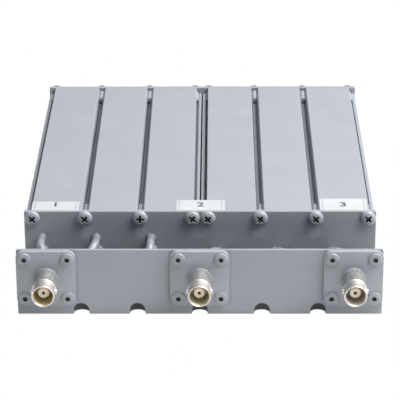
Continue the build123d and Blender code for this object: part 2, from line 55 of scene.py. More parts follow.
def layout_box(node):
    """Lowest and highest corner of a node in the layout, in millimetres."""
    low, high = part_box(node)
    return np.array(low) / MM - ORIGIN, np.array(high) / MM - ORIGIN


BLOCK_LOW, BLOCK_HIGH = layout_box("cavity_block_right")
PLATE_Y = layout_box("front_plate")[0][1]
BACK_Y = layout_box("rear_plate")[1][1]
TOP_Z = BLOCK_HIGH[2]
MID_Z = TOP_Z / 2
BLOCK_X = (BLOCK_LOW[0] + BLOCK_HIGH[0]) / 2
BLOCK_W = BLOCK_HIGH[0] - BLOCK_LOW[0]
CELL_PITCH = 24.7625
CELL_XS = [s * BLOCK_X + u for s in (-1, 1) for u in (-CELL_PITCH, 0, CELL_PITCH)]

# Plate screws, as the extrusion's channels place them
SLOT_X = 12.075
CORNER_X = BLOCK_W / 2 - 3.2
SCREW_INSET = 2.95
TOP_ROW, BOTTOM_ROW = TOP_Z - SCREW_INSET, SCREW_INSET
SCREW_XS = [s * BLOCK_X + u for s in (-1, 1) for u in (-CORNER_X, -SLOT_X, SLOT_X, CORNER_X)]
CROSS_TURNS = (48, 42, 2, 38, 52, 40, 50, 44)
HEAD_D, HEAD_H, HEAD_RIM, HEAD_FLAT = 6.75, 2.3, 0.8, 0.28
RECESS_SPAN, RECESS_W, RECESS_DEPTH = 3.8, 1.0, 1.4
RECESS_FLOOR_HALF_SPAN, RECESS_FLOOR_HALF_W = 0.925, 0.33
HEAD_SQUARE = 2.05
SHANK_D, SHANK_LEN, SHANK_PITCH, THREAD_DEPTH = 3.3, 12.7, 1.27, 0.28
# The front screws' shanks are darker by this share past this depth under the head
FRONT_SHANK_DARK, SHANK_DARK_FROM = 0.36, 5.2

# Bracket screws, in its rear lip
LIP_SEAT, LIP_SCREW_Z, LIP_TURN = 26.0, 5.4, 20
LIP_HEAD_D, LIP_SHANK_LEN, LIP_SHANK_D = 5.2, 5.0, 2.8

# Jacks
JACKS = {"low": -65.6, "antenna": 0.0, "high": 65.6}
JACK_Z = 18.3
FLANGE_W, FLANGE_T, FLANGE_CORNER, FLANGE_HOLE_R = 25.4, 1.8, 3.0, 4.6
MOUTH_Y, SHOULDER_Y, REAR_BODY_END = -19.2, -13.1, 9.5
BORE_R, BORE_DEPTH, BORE_CHAMFER_R = 4.075, 8.4, 4.45
BARREL_R, RING_R, COLLAR_R, FOOT_R, REAR_BODY_R = 4.8, 5.12, 5.05, 5.4, 6.2
LUG_R, LUG_ROOT, LUG_REACH, LUG_BACK = 0.975, 4.4, 5.5, 5.3
INSULATOR_R, INSULATOR_HOLE_R, INSULATOR_BACK = 2.35, 0.8, 3.5
CONTACT_R, CONTACT_TAIL_R, CONTACT_HOLE_R, CONTACT_HOLE_DEPTH = 1.0, 0.7, 0.58, 1.2

# Rivets
RIVET_HALF = 9.13
EYE_R, RIVET_R, RIVET_SHANK_R, RIVET_TAIL_R, RIVET_TAIL_Y = 1.02, 3.0, 1.6, 2.3, 4.0

# Labels
LABEL_CORNER, DIGIT_SIZE, DIGIT_INSET = 0.7, 6.4, 6.2
LINE_INSET, LINE_HALF_W = 1.3, 0.16

# Coax
ROD_D = 6.35
COAX_D, COAX_BEND = 3.58, 6.4
COAX_APART = 2.7
CELL_END_Y, COAX_END_Y = 31.0, 5.5

# Tuning hardware
TUNER_D, TUNER_PITCH, TUNER_THREAD = 4.17, 0.794, 0.42
TUNER_SLOT_HALF, TUNER_SLOT_DEPTH, TUNER_CHAMFER = 0.5, 1.4, 0.3
NUT_AF, NUT_T, NUT_CHAMFER_SHARE = 8.73, 3.2, 0.97
BUSH_D, BUSH_DEPTH, BUSH_FLANGE_D, BUSH_FLANGE_T = 8.0, 2.8, 10.0, 1.6
TUNER_BORE_R = TUNER_D / 2 + 0.05


# Shapes: every one is a grid of points worked out as whole arrays

def round_axis(radius, along, turn, x, z):
    """Points at a radius and a turn from straight up round the line along Y through x and z."""
    return np.stack([x + radius * np.sin(turn), along + 0 * turn, z + radius * np.cos(turn)], -1)


def turned(profile, x, z, segments=48):
    """Each (radius, y) of the profile goes once round the line along Y through x and z."""
    turn = np.linspace(0, 2 * pi, segments, endpoint=False)
    radius, along = np.asarray(profile, float).T[..., None]
    return round_axis(radius, along, turn, x, z)


def thread(along, pitch, turn):
    """A triangle wave of y / pitch - turn, from 0 at a crest to 1 at a root."""
    return abs(((along[:, None] / pitch - turn / (2 * pi)) % 1) * 2 - 1)


def softened(corners, radii, steps=4):
    """A line of points with an arc at each inner corner.

    An arc of radius r starts and ends r / tan(half the corner's angle) away from the corner;
    its points turn about its centre from the one direction to the other in equal steps."""
    corners = np.asarray(corners, float)
    radii = np.broadcast_to(np.asarray(radii, float), (len(corners) - 2,))[:, None]
    middle = corners[1:-1]
    back, on = corners[:-2] - middle, corners[2:] - middle
    back /= np.linalg.norm(back, axis=1, keepdims=True)
    on /= np.linalg.norm(on, axis=1, keepdims=True)
    angle = np.arccos(np.clip((back * on).sum(1, keepdims=True), -1, 1))
    inwards = (back + on) / np.linalg.norm(back + on, axis=1, keepdims=True)
    centre = middle + inwards * radii / np.sin(angle / 2)
    first = middle + back * radii / np.tan(angle / 2) - centre
    last = middle + on * radii / np.tan(angle / 2) - centre
    sweep = (pi - angle)[:, None]
    part = np.linspace(0, 1, steps + 1)[None, :, None]
    arc = np.sin((1 - part) * sweep) * first[:, None] + np.sin(part * sweep) * last[:, None]
    arc = (arc / np.sin(sweep) + centre[:, None]).reshape(-1, corners.shape[1])
    return np.vstack([corners[:1], arc, corners[-1:]])


def tube(route, radius, segments=24, spacing=1.5):
    """A circle carried along a line of points, with closed ends.

    Each point's frame is the one before it, turned as little as the line's direction asks."""
    steps = np.linalg.norm(np.diff(route, axis=0), axis=1)
    route = route[np.concatenate([[True], steps > 1e-6])]
    run = np.concatenate([[0], np.cumsum(np.linalg.norm(np.diff(route, axis=0), axis=1))])
    even = np.unique(np.concatenate([run, np.arange(0, run[-1], spacing)]))
    even = even[np.concatenate([[True], np.diff(even) > 0.05])]
    line = np.stack([np.interp(even, run, route[:, k]) for k in range(3)], 1)
    along = np.gradient(line, axis=0)
    along /= np.linalg.norm(along, axis=1, keepdims=True)
    side = np.empty_like(along)
    side[0] = np.cross(along[0], (0.3, 0.2, 0.93))
    for k in range(1, len(along)):
        side[k] = side[k - 1] - along[k] * (side[k - 1] @ along[k])
    side /= np.linalg.norm(side, axis=1, keepdims=True)
    other = np.cross(along, side)
    turn = np.linspace(0, 2 * pi, segments, endpoint=False)[None, :, None]
    rings = line[:, None] + radius * (np.cos(turn) * side[:, None] + np.sin(turn) * other[:, None])
    ends = [np.repeat(line[k][None, None], segments, axis=1) for k in (0, -1)]
    return np.vstack([ends[0], rings, ends[1]])


def round_square(half, corner, steps=7):
    """Points of a rounded rectangle as (u, v): its four corner arcs in turn, with the sides divided.

    An arc is its centre plus the corner's radius times (cos, sin) of a quarter turn; the points
    of a side that is longer than the radius are at even shares of the way to the next arc."""
    centre = (np.asarray(half, float) - corner) * ((1, 1), (-1, 1), (-1, -1), (1, -1))
    angle = np.linspace(0, pi / 2, steps) + np.arange(4)[:, None] * pi / 2
    arcs = centre[:, None] + corner * np.stack([np.cos(angle), np.sin(angle)], -1)
    points = arcs.reshape(-1, 1, 2)
    following = np.roll(points, -1, axis=0)
    part = np.linspace(0, 1, 6, endpoint=False)
    divided = points * (1 - part[:, None]) + following * part[:, None]
    on_side = np.linalg.norm(following - points, axis=2) > corner
    return divided[on_side | (part == 0)]


def laid(ring, x, y, z):
    """A ring of (u, v) points laid flat round a middle."""
    return np.stack([x + ring[:, 0], y + ring[:, 1], np.full(len(ring), z)], -1)


def disc_lines(inner, outer, radius):
    """Grid lines from -radius to radius: the given ones, then evenly by slope to the edge."""
    part = np.linspace(0, 1, outer + 1)[1:]
    edge = inner[-1] + (radius - inner[-1]) * np.sin(part * pi / 2)
    positive = np.concatenate([inner, edge])
    return np.concatenate([-positive[:0:-1], positive])


def disc_grid(lines, straight, radius):
    """A grid that stays square inside the given half width and turns into a circle at the radius."""
    a, b = np.meshgrid(lines, lines, indexing="ij")
    far = np.maximum(abs(a), abs(b))
    length = np.maximum(np.hypot(a, b), 1e-9)
    part = np.clip((far - straight) / (radius - straight), 0, 1)
    scale = 1 - part + part * far / length
    return a * scale, b * scale


def rim_of(grid):
    """The outer ring of a square grid, once round."""
    return np.concatenate([grid[0, :-1], grid[:-1, -1], grid[-1, :0:-1], grid[:0:-1, 0]])


def screw(x, z, seat, facing, turn, scale=1.0, shank_len=SHANK_LEN, shank_d=SHANK_D, shank_dark=1.0):
    """Pan head screw along Y; facing is -1 for a head to the front and 1 for one to the back.

    The crown's height over the seat is rim + (head - rim) times the square root of 1 - s squared,
    where s grows from 0 at the flat to 1 at the edge; the recess is the deeper of two crossed
    troughs whose depth falls off along and across them, with a slightly sunk lip. The shank's
    radius is a triangle wave of y / pitch - turn, tapered to its point."""
    radius = HEAD_D / 2
    half_span, half_w = RECESS_SPAN / 2, RECESS_W / 2
    floor_span, floor_w = RECESS_FLOOR_HALF_SPAN, RECESS_FLOOR_HALF_W
    inner = [0, 0.17, floor_w, half_w, 0.62, 0.78, floor_span, 1.15, 1.4, 1.65, half_span, HEAD_SQUARE]
    u, v = disc_grid(disc_lines(np.array(inner), 7, radius), HEAD_SQUARE, radius)
    s = np.clip((np.hypot(u, v) / radius - HEAD_FLAT) / (1 - HEAD_FLAT), 0, 1)
    height = HEAD_RIM + (HEAD_H - HEAD_RIM) * np.sqrt(np.clip(1 - s**2, 0, 1))

    def trough(along, across):
        """1 over the floor, falling evenly to 0 at the trough's ends and at its walls."""
        run = np.clip((half_span - abs(along)) / (half_span - floor_span), 0, 1)
        wall = np.clip((half_w - abs(across)) / (half_w - floor_w), 0, 1)
        return np.minimum(run, wall)

    deep = np.maximum(trough(u, v), trough(v, u))
    near, far = np.minimum(abs(u), abs(v)), np.maximum(abs(u), abs(v))
    lip = np.exp(-((near - half_w) / 0.12) ** 2) * (far < half_span)
    height = height - RECESS_DEPTH * deep - 0.05 * lip * (deep == 0)
    angle = radians(turn)
    across, upward = u * cos(angle) - v * sin(angle), u * sin(angle) + v * cos(angle)

    def placed(p, h, q):
        """A head's point: p to the side, h out from the seat and q upwards."""
        return np.stack([x + scale * facing * p, seat + facing * scale * h, z + scale * q], -1)

    crown = placed(across, height, upward)
    edge_p, edge_q = rim_of(across), rim_of(upward)
    skirt = [(1.0, HEAD_RIM), (1.0, 0.12), (0.97, 0.0), (0.0, 0.0)]
    skirt = np.stack([placed(edge_p * k, np.full(edge_p.shape, h), edge_q * k) for k, h in skirt])
    rings = np.arange(-0.4, shank_len + 0.01, SHANK_PITCH / 6)
    once_round = np.linspace(0, 2 * pi, 24, endpoint=False)
    taper = np.clip((shank_len + 0.9 - rings[:, None]) / 1.6, 0.45, 1)
    shank_r = shank_d / 2 * taper - THREAD_DEPTH * thread(rings, SHANK_PITCH, once_round)
    shank_r = np.vstack([0 * shank_r[:1], shank_r, 0 * shank_r[:1]])
    run = np.concatenate([rings[:1], rings, rings[-1:]])[:, None] + 0 * shank_r
    shank = round_axis(shank_r, seat - facing * run, once_round, x, z)
    # The shank is darker by its given share past a depth under the head
    darker_share = shank_dark * np.clip((run - SHANK_DARK_FROM) / 0.8, 0, 1)
    # The recess's depth marks painted shade in it
    return [(crown, False, np.clip(deep * 1.6, 0, 1)), (skirt, True, None), (shank, True, darker_share)]


# Meshes

def piece(name, grids, material, body="chassis", replaced=(), sharp=35.0):
    """A mesh of grids, each (points, closed round, mark of painted shade and bores or None), welded and
    facing outwards.
    """
    points, faces, shade_and_bores, start = [], [], [], 0
    for grid, around, dark in grids:
        rows, columns = grid.shape[:2]
        number = start + np.arange(rows * columns).reshape(rows, columns)
        if around:
            number = np.hstack([number, number[:, :1]])
        quads = np.stack([number[:-1, :-1], number[:-1, 1:], number[1:, 1:], number[1:, :-1]], -1)
        points.append(grid.reshape(-1, 3))
        faces.append(quads.reshape(-1, 4))
        shade_and_bores.append(np.zeros(rows * columns) if dark is None else np.asarray(dark, float).reshape(-1))
        start += rows * columns
    mesh = bpy.data.meshes.new(name)
    points = (np.concatenate(points) + ORIGIN) * MM
    mesh.from_pydata(points.tolist(), [], np.concatenate(faces).tolist())
    shade_and_bores = np.concatenate(shade_and_bores).astype(np.float32)
    mesh.attributes.new("shade_and_bores", "FLOAT", "POINT").data.foreach_set("value", shade_and_bores)
    finished(name, mesh, material, body, replaced, sharp)


def finished(name, mesh, material, body="chassis", replaced=(), sharp=35.0):
    """Weld a mesh, turn its faces outwards, smooth it and hand it to its body."""
    work = bmesh.new()
    work.from_mesh(mesh)
    bmesh.ops.remove_doubles(work, verts=work.verts, dist=2e-6)
    bmesh.ops.dissolve_degenerate(work, edges=work.edges, dist=1e-7)
    bmesh.ops.recalc_face_normals(work, faces=work.faces)
    work.to_mesh(mesh)
    work.free()
    mesh.polygons.foreach_set("use_smooth", [True] * len(mesh.polygons))
    mesh.set_sharp_from_angle(angle=radians(sharp))
    mesh.materials.append(material)
    obj = bpy.data.objects.new(name, mesh)
    scene.collection.objects.link(obj)
    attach(obj, body)
    if replaced:
        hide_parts(*replaced)


# Colours and shader nodes

def linear(code):
    """An sRGB hex colour as linear RGBA."""
    srgb = np.array([int(code[i:i + 2], 16) for i in (1, 3, 5)]) / 255
    rgb = np.where(srgb <= 0.04045, srgb / 12.92, ((srgb + 0.055) / 1.055) ** 2.4)
    return (*rgb.tolist(), 1.0)


def add(tree, kind, inputs=None, out=0, **properties):
    """Add a node with its properties, link or set its inputs, and return one of its outputs.

    An input is a socket to link, a hex colour or a plain value; it is named or counted."""
    node = tree.nodes.new(kind)
    for name, value in properties.items():
        setattr(node, name, value)
    for name, value in (inputs or {}).items():
        if isinstance(value, bpy.types.NodeSocket):
            tree.links.new(value, node.inputs[name])
        else:
            node.inputs[name].default_value = linear(value) if isinstance(value, str) else value
    return node.outputs[out] if len(node.outputs) else None


def new_material(name):
    """An empty material with its object coordinates, in metres."""
    material = bpy.data.materials.new(name)
    material.use_nodes = True
    tree = material.node_tree
    tree.nodes.clear()
    return material, tree, add(tree, "ShaderNodeTexCoord", out="Object")


def patches(tree, place, size_mm, low=0.0, high=1.0, detail=2.0):
    """Soft patches of about the given size, going from the low to the high value."""
    noise = {"Vector": place, "Scale": 1 / (size_mm * MM), "Detail": detail}
    field = add(tree, "ShaderNodeTexNoise", noise)
    spread = {"Value": field, "From Min": 0.3, "From Max": 0.7, "To Min": low, "To Max": high}
    return add(tree, "ShaderNodeMapRange", spread, interpolation_type="SMOOTHSTEP")


def mottled(tree, place, size_mm, dark, light, detail=3.0):
    """Two close tones in soft patches of about the given size."""
    share = patches(tree, place, size_mm, detail=detail)
    return add(tree, "ShaderNodeMix", {0: share, 6: dark, 7: light}, out=2, data_type="RGBA")


def share_of(tree, *factors):
    """The product of several factors: sockets or numbers as they are, and lengths that are eased.

    A length is (source, start, end, begin, finish), its places in millimetres: its factor is
    begin up to the start and finish from the end on, 0 and 1 where they are left out."""
    total = None
    for factor in factors:
        if isinstance(factor, tuple):
            source, start, end, *values = factor
            begin, finish = values or (0.0, 1.0)
            span = {"Value": source, "From Min": start * MM, "From Max": end * MM}
            span.update({"To Min": begin, "To Max": finish})
            factor = add(tree, "ShaderNodeMapRange", span, interpolation_type="SMOOTHSTEP")
        if total is not None:
            factor = add(tree, "ShaderNodeMath", {0: total, 1: factor}, operation="MULTIPLY")
        total = factor
    return total


def apart(tree, coordinate, line):
    """How far a coordinate lies from a line that is given in millimetres."""
    away = add(tree, "ShaderNodeMath", {0: coordinate, 1: line * MM}, operation="SUBTRACT")
    return add(tree, "ShaderNodeMath", {0: away}, operation="ABSOLUTE")


def reach_of(tree, aside, upward):
    """The distance that a length to the side and a length upward give together."""
    both = add(tree, "ShaderNodeCombineXYZ", {0: aside, 1: upward})
    return add(tree, "ShaderNodeVectorMath", {0: both}, out="Value", operation="LENGTH")


PAINT_LIGHT, PAINT_DARK = "#979BA3", "#9599A0"
# The first is the specks' tone; the second is painted shade in the hardware's recesses and the rivets'
# eyes, and the front shanks' darker tone
PAINT_SPECK, SHADE_AND_SHANK_DARK = "#4A4C50", "#0E0F12"
CLOUD_MM, GLOSS_MM, SPECK_CELL_MM = 14, 40, 7.0
PEEL_MM, NIB_MM, PEEL_HEIGHT_MM = 1.8, 0.8, 0.0025


def paint(tree, place, edge_mm=0.0, shade_and_patch_share=None, shade_and_patch_tone=SHADE_AND_SHANK_DARK):
    """The sprayed paint as a shader, with a share of a second tone for painted shade and for patches.

    Grey semi-gloss machine enamel, air dried: an even blue grey with an orange peel of about
    1.8 mm, cloudy by a few percent over centimetres, with dust nibs and a few dark specks.
    In one of forty cells of 7 mm there is a speck, which fades out over its rim."""
    colour = mottled(tree, place, CLOUD_MM, PAINT_DARK, PAINT_LIGHT)
    cells = {"Vector": place, "Scale": 1 / (SPECK_CELL_MM * MM)}
    away = add(tree, "ShaderNodeTexVoronoi", cells, out="Distance")
    chance = add(tree, "ShaderNodeSeparateColor", {0: away.node.outputs["Color"]})
    few = add(tree, "ShaderNodeMath", {0: chance, 1: 0.975}, operation="GREATER_THAN")
    fade = {"Value": away, "From Min": 0.02, "From Max": 0.04, "To Min": 0.5, "To Max": 0.0}
    speck = share_of(tree, add(tree, "ShaderNodeMapRange", fade), few)
    tones = {0: speck, 6: colour, 7: PAINT_SPECK}
    colour = add(tree, "ShaderNodeMix", tones, out=2, data_type="RGBA")
    if shade_and_patch_share is not None:
        tones = {0: shade_and_patch_share, 6: colour, 7: shade_and_patch_tone}
        colour = add(tree, "ShaderNodeMix", tones, out=2, data_type="RGBA")
    peel = {"Vector": place, "Scale": 1 / (PEEL_MM * MM), "Detail": 1.0}
    peel = add(tree, "ShaderNodeTexNoise", peel)
    nib = {"Vector": place, "Scale": 1 / (NIB_MM * MM), "Detail": 1.0}
    nib = add(tree, "ShaderNodeTexNoise", nib)
    nib = {"Value": nib, "From Min": 0.72, "From Max": 0.84, "To Max": 0.25}
    nib = add(tree, "ShaderNodeMapRange", nib)
    height = add(tree, "ShaderNodeMath", {0: peel, 1: nib}, operation="ADD")
    skin = {"Height": height, "Strength": 1.0, "Distance": PEEL_HEIGHT_MM * MM}
    if edge_mm:
        skin["Normal"] = add(tree, "ShaderNodeBevel", {"Radius": edge_mm * MM}, samples=6)
    coat = {"Base Color": colour, "Normal": add(tree, "ShaderNodeBump", skin), "IOR": 1.5}
    coat["Roughness"] = patches(tree, place, GLOSS_MM, 0.28, 0.31, 0.0)
    return add(tree, "ShaderNodeBsdfPrincipled", coat)


def in_the_fold(tree, place):
    """Painted shade inside the bracket's fold, from behind its panel to some way up it."""
    depth = add(tree, "ShaderNodeSeparateXYZ", {0: place}, out="Y")
    level = depth.node.outputs["Z"]
    y, z = ORIGIN[1:]
    behind, over = (depth, y + 0.9, y + 2.2), (level, z + 0.05, z + 0.2)
    below = (level, z + 8, z + 22, 1.0, 0.0)
    return share_of(tree, behind, over, below, 0.92)


def on_the_bracket(tree, place):
    """Painted shade inside the fold, and a thin painted shadow on the panel beside each jack's flange.

    The distance from the nearest jack is worked out between two of them and mirrored on."""
    across = add(tree, "ShaderNodeSeparateXYZ", {0: place}, out="X")
    level = across.node.outputs["Z"]
    spacing = JACKS["high"] * MM
    aside = add(tree, "ShaderNodeMath", {0: across, 1: spacing}, operation="PINGPONG")
    from_next = add(tree, "ShaderNodeMath", {0: spacing, 1: aside}, operation="SUBTRACT")
    aside = add(tree, "ShaderNodeMath", {0: aside, 1: from_next}, operation="MINIMUM")
    edge = FLANGE_W / 2
    foot = JACK_Z - edge + ORIGIN[2]
    line = share_of(tree, (aside, edge - 0.1, edge + 1.8, 0.1, 0.0), (level, foot - 1.2, foot))
    return add(tree, "ShaderNodeMath", {0: in_the_fold(tree, place), 1: line}, operation="MAXIMUM")


def in_the_channels(tree, place):
    """Painted shade on and near the walls of the extrusions' round screw channels, and in the joint
    between the two.

    The share falls with the distance from the nearest channel's line, worked out in one quarter
    of a block's section and mirrored to the others. On the floor of the left block's channels a
    light line inside the middle is kept out of the painted shade and a dark line of painted shade
    lies outside it, and the inner slopes of the right block's slots get painted shade. The left
    block's channels get more of the painted shade than the right one's. Outward is the distance
    from a slot's middle, away from the part's own; a share by block is the left block's, then the
    right one's."""
    across = add(tree, "ShaderNodeSeparateXYZ", {0: place}, out="X")
    level = across.node.outputs["Z"]
    from_middle = apart(tree, across, 0.0)
    beyond = add(tree, "ShaderNodeMath", {0: from_middle, 1: BLOCK_X * MM}, operation="SUBTRACT")
    in_block = add(tree, "ShaderNodeMath", {0: beyond}, operation="ABSOLUTE")
    slot = add(tree, "ShaderNodeMath", {0: beyond}, operation="SIGN")
    slot = add(tree, "ShaderNodeMath", {0: slot, 1: SLOT_X * MM}, operation="MULTIPLY")
    outward = add(tree, "ShaderNodeMath", {0: beyond, 1: slot}, operation="SUBTRACT")
    lines = {0: apart(tree, in_block, SLOT_X), 1: apart(tree, in_block, CORNER_X)}
    aside = add(tree, "ShaderNodeMath", lines, operation="MINIMUM")
    height = apart(tree, level, MID_Z + ORIGIN[2])
    deep = {0: height, 1: (MID_Z - SCREW_INSET) * MM}
    deep = add(tree, "ShaderNodeMath", deep, operation="SUBTRACT")
    near = (reach_of(tree, aside, deep), 1.75, 2.9, 1.0, 0.0)
    off_light_line = (apart(tree, outward, -0.3), 0.15, 0.4)
    on_dark_line = (apart(tree, outward, 0.75), 0.15, 0.4, 1.0, 0.0)
    on_slope = (outward, -1.0, -0.85, 1.0, 0.0), (outward, -1.75, -1.5)
    at_joint = (from_middle, 0.25, 0.4, 1.0, 0.0), (height, MID_Z - 0.6, MID_Z - 0.1, 0.9, 0.0)
    by_block, off_end_channel = (across, -1.0, 1.0), (across, -66, -60, 0.2, 1.0)
    most = 0.0
    for factors in (
        (near, (*by_block, 0.18, 0.0), off_end_channel, off_light_line),
        (on_dark_line, (*by_block, 0.9, 0.05)),
        (*on_slope, (*by_block, 0.0, 0.6)),
        at_joint,
    ):
        most = add(tree, "ShaderNodeMath", {0: most, 1: share_of(tree, *factors)}, operation="MAXIMUM")
    return most


def touched_in(tree, place):
    """Faint lighter round spots on the front plate, a little below the screws at the slots and at the
    middle.

    The share falls with the distance from the nearest spot's middle."""
    across = add(tree, "ShaderNodeSeparateXYZ", {0: place}, out="X")
    level = across.node.outputs["Z"]
    from_middle = apart(tree, across, 0.0)
    aside = apart(tree, apart(tree, from_middle, BLOCK_X - 0.6), SLOT_X)
    aside = add(tree, "ShaderNodeMath", {0: aside, 1: from_middle}, operation="MINIMUM")
    upward = {0: level, 1: (TOP_ROW - 6.7 + ORIGIN[2]) * MM}
    upward = add(tree, "ShaderNodeMath", upward, operation="SUBTRACT")
    return share_of(tree, (reach_of(tree, aside, upward), 1.8, 3.8, 0.2, 0.0))


def where_bare(tree, place):
    """Painted shade in the deep recesses and the rivets' eyes, and the shanks' darker tone, as the
    piece's own mark gives them.
    """
    mark = add(tree, "ShaderNodeAttribute", out="Fac", attribute_name="shade_and_bores")
    return add(tree, "ShaderNodeMapRange", {"Value": mark, "From Min": 0.15, "From Max": 0.6})


def thin_coat(tree, place):
    """Darker in patches all over."""
    return patches(tree, place, 3.0, 0.15, 0.35)


def enamel(name, edge_mm=0.3, shade_and_patch_share=None, shade_and_patch_tone=SHADE_AND_SHANK_DARK):
    """The paint on a part, with a share of a second tone for painted shade and for patches."""
    material, tree, place = new_material(name)
    share = shade_and_patch_share(tree, place) if shade_and_patch_share else None
    add(tree, "ShaderNodeOutputMaterial", {"Surface": paint(tree, place, edge_mm, share, shade_and_patch_tone)})
    return material


def nickel_shell(name, mouth_tint):
    """Bright nickel plate on turned brass, misted with the case's paint from the flange forwards.

    The flange is fully painted. The collar is dull and greenish grey with lengthwise streaks
    beneath a dry mist of paint. The ring at its shoulder and the barrel in front are clean and
    warm, with turning lines round them, drawn coarser than the real ones so that they show;
    the bore shows the olive tone of thin plate."""
    material, tree, place = new_material(name)
    along = add(tree, "ShaderNodeSeparateXYZ", {0: place}, out="Y")
    shoulder, flange = SHOULDER_Y + ORIGIN[1], ORIGIN[1] - FLANGE_T
    wander = patches(tree, place, 1.2, -0.4 * MM, 0.4 * MM, 3.0)
    ragged = add(tree, "ShaderNodeMath", {0: along, 1: wander}, operation="ADD")
    shade_and_bores = add(tree, "ShaderNodeAttribute", out="Fac", attribute_name="shade_and_bores")
    outside = add(tree, "ShaderNodeMath", {0: 1.0, 1: shade_and_bores}, operation="SUBTRACT")
    collar = share_of(tree, (along, shoulder + 0.6, shoulder + 1.0), outside)
    mist = share_of(tree, (ragged, flange - 3, flange - 0.2, 0.2, 1.0), collar)
    lines = add(tree, "ShaderNodeMapping", {"Vector": place, "Scale": (0.04, 1, 0.04)})
    plate = mottled(tree, lines, 0.35, "#DDD6D0", "#EEE9E4")
    streaks = add(tree, "ShaderNodeMapping", {"Vector": place, "Scale": (1, 0.12, 1)})
    dull = mottled(tree, streaks, 0.8, "#A2A39D", "#C6C6C0")
    plate = add(tree, "ShaderNodeMix", {0: collar, 6: plate, 7: dull}, out=2, data_type="RGBA")
    plate = add(tree, "ShaderNodeMix", {0: shade_and_bores, 6: plate, 7: mouth_tint}, out=2, data_type="RGBA")
    clean = {"Base Color": plate, "Roughness": patches(tree, place, 0.9, 0.4, 0.5, 3.0)}
    metallic = {"Value": shade_and_bores, "To Min": 1.0, "To Max": 0.35}
    clean["Metallic"] = add(tree, "ShaderNodeMapRange", metallic)
    clean = add(tree, "ShaderNodeBsdfPrincipled", clean)
    surface = add(tree, "ShaderNodeMixShader", {0: mist, 1: clean, 2: paint(tree, place)})
    add(tree, "ShaderNodeOutputMaterial", {"Surface": surface})
    return material


def metal(name, light, dark, rough, grain_mm=0.6, hole=None):
    """Plain or plated metal: two close tones, fine marks from the tool and, where given, a dark bore."""
    material, tree, place = new_material(name)
    colour = mottled(tree, place, 3 * grain_mm, dark, light)
    if hole:
        shade_and_bores = add(tree, "ShaderNodeAttribute", out="Fac", attribute_name="shade_and_bores")
        colour = add(tree, "ShaderNodeMix", {0: shade_and_bores, 6: colour, 7: hole}, out=2, data_type="RGBA")
    gloss = patches(tree, place, grain_mm, rough - 0.06, rough + 0.06, 3.0)
    marks = {"Height": patches(tree, place, grain_mm / 4), "Strength": 1.0, "Distance": 0.003 * MM}
    surface = {"Base Color": colour, "Roughness": gloss, "Metallic": 1.0}
    surface["Normal"] = add(tree, "ShaderNodeBump", marks)
    add(tree, "ShaderNodeOutputMaterial", {"Surface": add(tree, "ShaderNodeBsdfPrincipled", surface)})
    return material


def soft_white(name, dark, light, size_mm, relief_mm, **settings):
    """A pale plastic: two close tones, and a slight unevenness of the same kind of size."""
    material, tree, place = new_material(name)
    uneven = {"Height": patches(tree, place, size_mm / 3), "Strength": 1.0, "Distance": relief_mm * MM}
    surface = {"Base Color": mottled(tree, place, size_mm, dark, light, 2.0)}
    surface["Normal"] = add(tree, "ShaderNodeBump", uneven)
    surface.update({key.replace("_", " "): value for key, value in settings.items()})
    add(tree, "ShaderNodeOutputMaterial", {"Surface": add(tree, "ShaderNodeBsdfPrincipled", surface)})
    return material


def print_ink(name, dark, light):
    """Thermal print: thin flat ink, a little uneven in its grey."""
    material, tree, place = new_material(name)
    surface = {"Base Color": mottled(tree, place, 0.4, dark, light, 2.0), "Roughness": 0.6, "IOR": 1.45}
    add(tree, "ShaderNodeOutputMaterial", {"Surface": add(tree, "ShaderNodeBsdfPrincipled", surface)})
    return material


def copper_rod(name):
    """Drawn copper, slightly oxidised; its spigot's end is painted over with the front plate."""
    material, tree, place = new_material(name)
    along = add(tree, "ShaderNodeSeparateXYZ", {0: place}, out="Y")
    face = PLATE_Y + ORIGIN[1]
    outside = share_of(tree, (along, face + 0.2, face + 0.6, 1.0, 0.0))
    rod = {"Base Color": mottled(tree, place, 4, "#A8603E", "#C98A66"), "Metallic": 1.0}
    rod["Roughness"] = patches(tree, place, 1, 0.28, 0.42)
    rod = add(tree, "ShaderNodeBsdfPrincipled", rod)
    surface = add(tree, "ShaderNodeMixShader", {0: outside, 1: rod, 2: paint(tree, place)})
    add(tree, "ShaderNodeOutputMaterial", {"Surface": surface})
    return material


# The same enamel all over the case: painted shade in the bracket's fold and beside the flanges,
# in the extrusions' channels and joint and in the hardware's recesses; darker front shanks, faint
# lighter spots on the front plate and darker patches on the coax
case_enamel = enamel("case_enamel")
plate_enamel = enamel("front_plate_enamel", 0.3, touched_in, "#D8DCE2")
block_enamel = enamel("block_enamel", 0.3, in_the_channels, "#17181B")
hardware_enamel = enamel("hardware_enamel", 0.0, where_bare)
coax_enamel = enamel("coax_enamel", 0.0, thin_coat, "#3C3F44")
bracket_enamel = enamel("bracket_enamel", 0.12, on_the_bracket, "#1E1F23")
# PTFE is a waxy milk white that lets a little light in
ptfe = soft_white("machined_ptfe", "#F6ECE1", "#FCF5EB", 1.2, 0.006, Roughness=0.38, IOR=1.35,
                  Subsurface_Weight=0.25, Subsurface_Scale=0.0008)
# Laminated label tape has an even satin film, a little uneven from the adhesive under it
tape = soft_white("white_label_film", "#B4B6B9", "#B9BBBD", 9, 0.03, Roughness=0.35, IOR=1.5)
# Gold plate on a turned pin is deep yellow and softly bright, and browner in its bore
gold = metal("gold_plate", "#C99A4C", "#A87A34", 0.25, 0.4, "#9A6236")
# Drawn copper is pinkish brown, the rods a little darker from handling than the wire
copper = copper_rod("drawn_copper")
wire = metal("loop_wire", "#C88A62", "#A0603C", 0.32)
# Turned brass is pale yellow with a brownish cast in its dull places
brass = metal("turned_brass", "#C8AC6C", "#AE9150", 0.27)
# Zinc plate on steel is a cool even grey with a soft shine
zinc_steel = metal("zinc_plated_steel", "#B8BABC", "#9C9EA0", 0.3)
